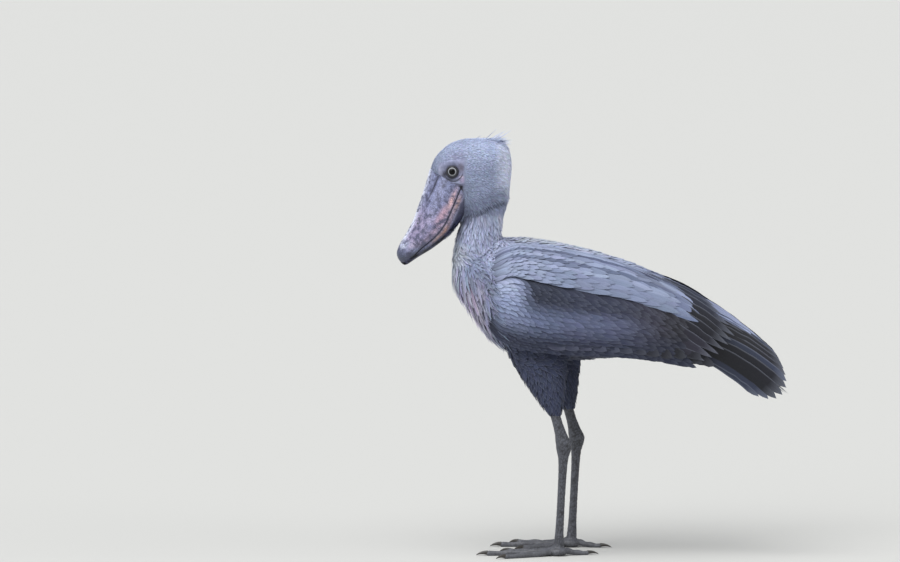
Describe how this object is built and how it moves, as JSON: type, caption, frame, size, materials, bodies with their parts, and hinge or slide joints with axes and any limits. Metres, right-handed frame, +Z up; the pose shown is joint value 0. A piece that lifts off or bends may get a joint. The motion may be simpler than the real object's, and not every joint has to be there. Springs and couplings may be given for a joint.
{
  "type": "shoebill",
  "caption": "Life-size still model of a shoebill standing hunched, looking down, wings folded, resting on its own two feet.",
  "frame": {"origin": "on the floor, under the middle of the bird's bounding box", "axes": "+Z up, through the standing bird; the bird faces -X and its left side is towards -Y"},
  "size_m": [0.8314, 0.2818, 0.8881],
  "materials": {
    "plumage_head": "matte blue-grey feathers",
    "plumage_body": "matte slate feathers with paler tips",
    "plumage_flight": "dark slate flight feathers, slightly glossy",
    "bill_horn": "mottled grey-mauve and tan horn",
    "eye": "wet glass eye with a pale iris",
    "leg_skin": "dark scaly skin",
    "claw": "dark claw horn"
  },
  "bodies": {
    "root": {"bill_lower": "bill_horn", "bill_upper": "bill_horn", "claw_hind_left": "claw", "claw_hind_right": "claw", "claw_inner_left": "claw", "claw_inner_right": "claw", "claw_middle_left": "claw", "claw_middle_right": "claw", "claw_outer_left": "claw", "claw_outer_right": "claw", "eye_left": "eye", "eye_right": "eye", "head": "plumage_head", "neck": "plumage_head", "shank_left": "leg_skin", "shank_right": "leg_skin", "tail": "plumage_flight", "thigh_left": "plumage_body", "thigh_right": "plumage_body", "toe_hind_left": "leg_skin", "toe_hind_right": "leg_skin", "toe_inner_left": "leg_skin", "toe_inner_right": "leg_skin", "toe_middle_left": "leg_skin", "toe_middle_right": "leg_skin", "toe_outer_left": "leg_skin", "toe_outer_right": "leg_skin", "torso": "plumage_body", "wing_left": "plumage_flight", "wing_right": "plumage_flight"}
  },
  "joints": []
}
